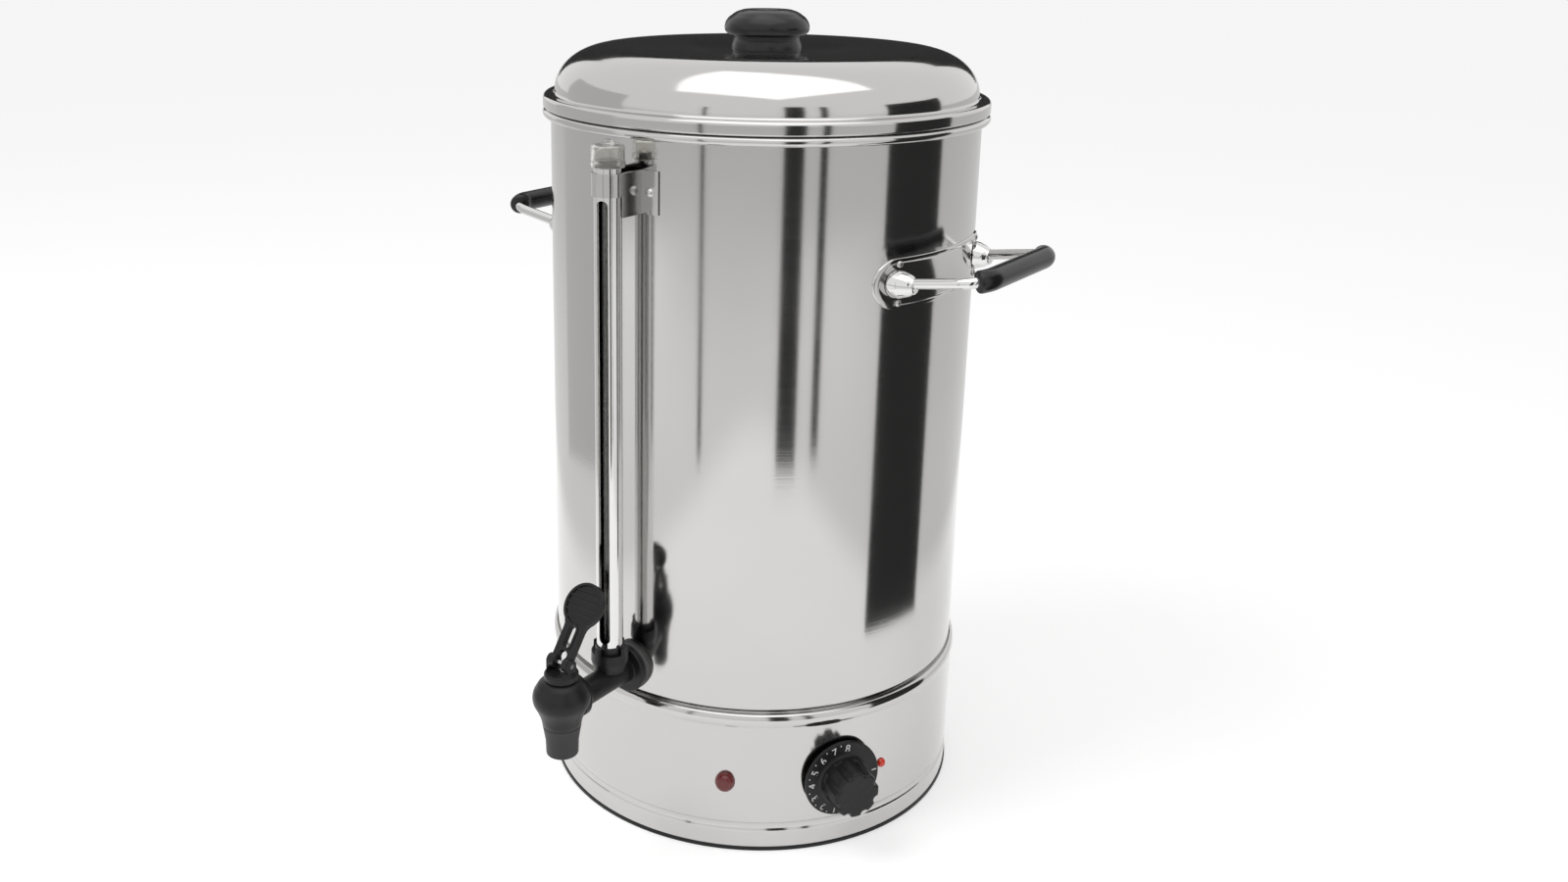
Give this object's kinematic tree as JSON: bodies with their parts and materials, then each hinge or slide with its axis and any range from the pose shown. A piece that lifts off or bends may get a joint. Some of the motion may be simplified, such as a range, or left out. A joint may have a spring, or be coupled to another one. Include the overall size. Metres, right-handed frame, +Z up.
{
  "type": "hot water urn",
  "caption": "Cylindrical steel hot water urn with a domed lift-off lid, side handles, a lever tap with a water level tube, and a heat dial on its base band.",
  "frame": {"origin": "centre of the urn's footprint on the table", "axes": "+Z up along the tank's axis, -Y towards the tap and the person drawing water, +X towards the handle on the dial's side"},
  "size_m": [0.3688, 0.3662, 0.506],
  "materials": {
    "polished_steel": "polished stainless steel with a faint circumferential grain",
    "chrome_rod": "bright plated rod",
    "steel_fastener": "plain bright steel",
    "base_steel": "dull sheet steel",
    "black_plastic": "moulded black heat-proof plastic, semi-matt",
    "silicone": "soft dark seal",
    "clear_glass": "clear glass tube",
    "amber_cap": "smoky clear plastic",
    "red_lens": "dark red lens, unlit",
    "index_red": "bright red dot",
    "lamp_body": "pale moulded plastic",
    "heater_steel": "heat-dulled steel sheath",
    "brass_nut": "plain brass",
    "phenolic": "dark brown phenolic"
  },
  "bodies": {
    "urn": {"tank": "polished_steel", "skirt": "polished_steel", "handle_plate_right": "polished_steel", "handle_plate_left": "polished_steel", "gauge_bracket": "polished_steel", "gauge_guard": "polished_steel", "handle_rod_right": "chrome_rod", "handle_rod_left": "chrome_rod", "handle_bosses_right": "chrome_rod", "handle_bosses_left": "chrome_rod", "base_screws": "steel_fastener", "gauge_bracket_screws": "steel_fastener", "handle_rivets_right": "steel_fastener", "handle_rivets_left": "steel_fastener", "handle_nuts_right": "steel_fastener", "handle_nuts_left": "steel_fastener", "lever_pin": "steel_fastener", "tap_spring": "steel_fastener", "base_plate": "base_steel", "tap_body": "black_plastic", "tap_spout": "black_plastic", "tap_bonnet": "black_plastic", "gauge_nut": "black_plastic", "handle_grip_right": "black_plastic", "handle_grip_left": "black_plastic", "cord_gland": "black_plastic", "cord_gland_nut": "black_plastic", "tap_lock_nut": "black_plastic", "base_ring": "black_plastic", "tap_washer": "silicone", "gauge_seal": "silicone", "gauge_glass": "clear_glass", "gauge_cap": "amber_cap", "pilot_lens": "red_lens", "dial_index": "index_red", "pilot_lamp": "lamp_body", "heating_element": "heater_steel", "element_nuts": "brass_nut", "thermostat": "phenolic", "boil_dry_cutout": "phenolic", "terminal_block": "phenolic"},
    "lid": {"lid_shell": "polished_steel", "lid_knob": "black_plastic", "lid_knob_screw": "steel_fastener", "lid_knob_washer": "steel_fastener"},
    "dial": {"dial_knob": "black_plastic", "thermostat_shaft": "steel_fastener"},
    "lever": {"tap_lever": "black_plastic"},
    "stem": {"tap_stem": "steel_fastener", "seat_cup": "silicone"}
  },
  "joints": [
    {"name": "lid_lift", "type": "slide", "parent": "urn", "child": "lid", "axis": [0, 0, 1], "range_m": [0, 0.15]},
    {"name": "dial_turn", "type": "hinge", "parent": "urn", "child": "dial", "pos_m": [0.11783, -0.07221, 0.048], "axis": [0.8526, -0.5225, 0], "range_deg": [0, 270]},
    {"name": "lever_pull", "type": "hinge", "parent": "urn", "child": "lever", "pos_m": [0, -0.198, 0.141], "axis": [1, 0, 0], "range_deg": [0, 40], "stiffness_Nm_per_rad": 0.12, "springref_deg": -5.73},
    {"name": "stem_lift", "type": "slide", "parent": "urn", "child": "stem", "axis": [0, 0, 1], "range_m": [0, 0.003], "deforming": ["tap_spring"]}
  ],
  "couplings": [
    {"joint": "stem_lift", "follows": "lever_pull", "m_per_rad": 0.00429}
  ]
}
